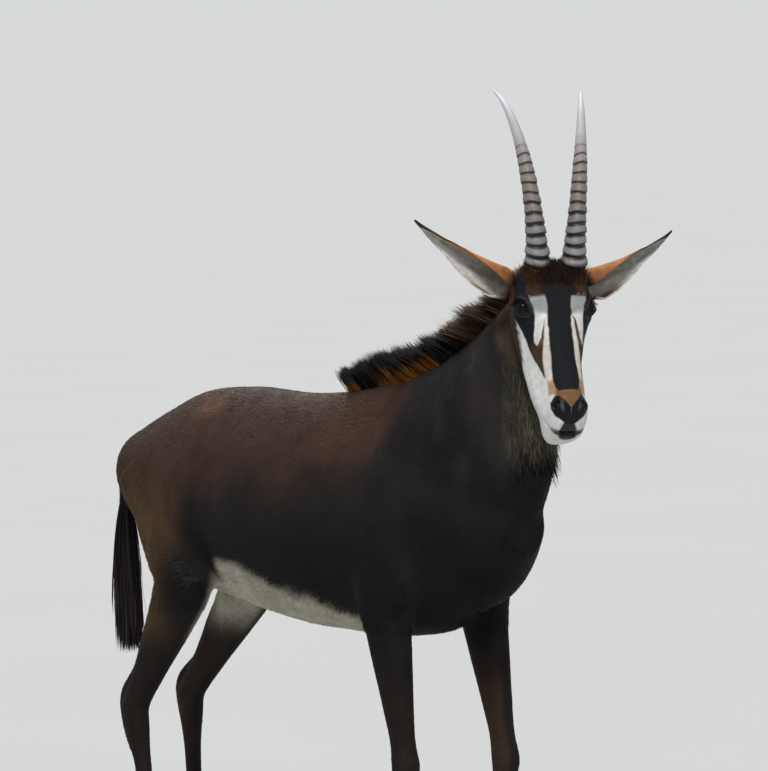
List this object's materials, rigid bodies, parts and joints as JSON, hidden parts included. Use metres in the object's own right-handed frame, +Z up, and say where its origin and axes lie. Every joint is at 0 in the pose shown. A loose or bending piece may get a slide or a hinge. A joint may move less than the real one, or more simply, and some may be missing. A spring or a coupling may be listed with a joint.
{
  "type": "sable antelope",
  "caption": "Life-size standing sable antelope, head turned to its right, with ringed horns, long pointed ears and an upright mane.",
  "frame": {"origin": "under the middle of the whole animal's box, on the ground", "axes": "+X ahead of the animal along its trunk, +Y to its left and the shortest way across, +Z up and the longest extent"},
  "size_m": [1.672, 0.5236, 1.9879],
  "materials": {
    "coat": "short glossy hair, dark brown to black with a white belly and a black and white face",
    "ear": "short rust-coloured hair, pale inside",
    "horn": "dull ringed horn, smooth towards the tips",
    "hoof": "dull black horn",
    "nose": "moist black skin",
    "eye": "wet, very dark brown",
    "hair": "long coarse black hair of mane and tail, rust-coloured near the roots of the mane"
  },
  "bodies": {
    "root": {"barrel": "coat", "chest": "coat", "dewclaw_fore_left_inner": "hoof", "dewclaw_fore_left_outer": "hoof", "dewclaw_fore_right_inner": "hoof", "dewclaw_fore_right_outer": "hoof", "dewclaw_hind_left_inner": "hoof", "dewclaw_hind_left_outer": "hoof", "dewclaw_hind_right_inner": "hoof", "dewclaw_hind_right_outer": "hoof", "ear_left": "ear", "ear_right": "ear", "eye_left": "eye", "eye_right": "eye", "fore_cannon_left": "coat", "fore_cannon_right": "coat", "fore_pastern_left": "coat", "fore_pastern_right": "coat", "forearm_left": "coat", "forearm_right": "coat", "gaskin_left": "coat", "gaskin_right": "coat", "head": "coat", "hind_cannon_left": "coat", "hind_cannon_right": "coat", "hind_pastern_left": "coat", "hind_pastern_right": "coat", "hindquarters": "coat", "hock_left": "coat", "hock_right": "coat", "hoof_fore_left_inner": "hoof", "hoof_fore_left_outer": "hoof", "hoof_fore_right_inner": "hoof", "hoof_fore_right_outer": "hoof", "hoof_hind_left_inner": "hoof", "hoof_hind_left_outer": "hoof", "hoof_hind_right_inner": "hoof", "hoof_hind_right_outer": "hoof", "horn_left": "horn", "horn_right": "horn", "knee_left": "coat", "knee_right": "coat", "neck_lower": "coat", "neck_upper": "coat", "nose": "nose", "tail_dock": "coat", "tail_tuft": "hair"}
  },
  "joints": []
}
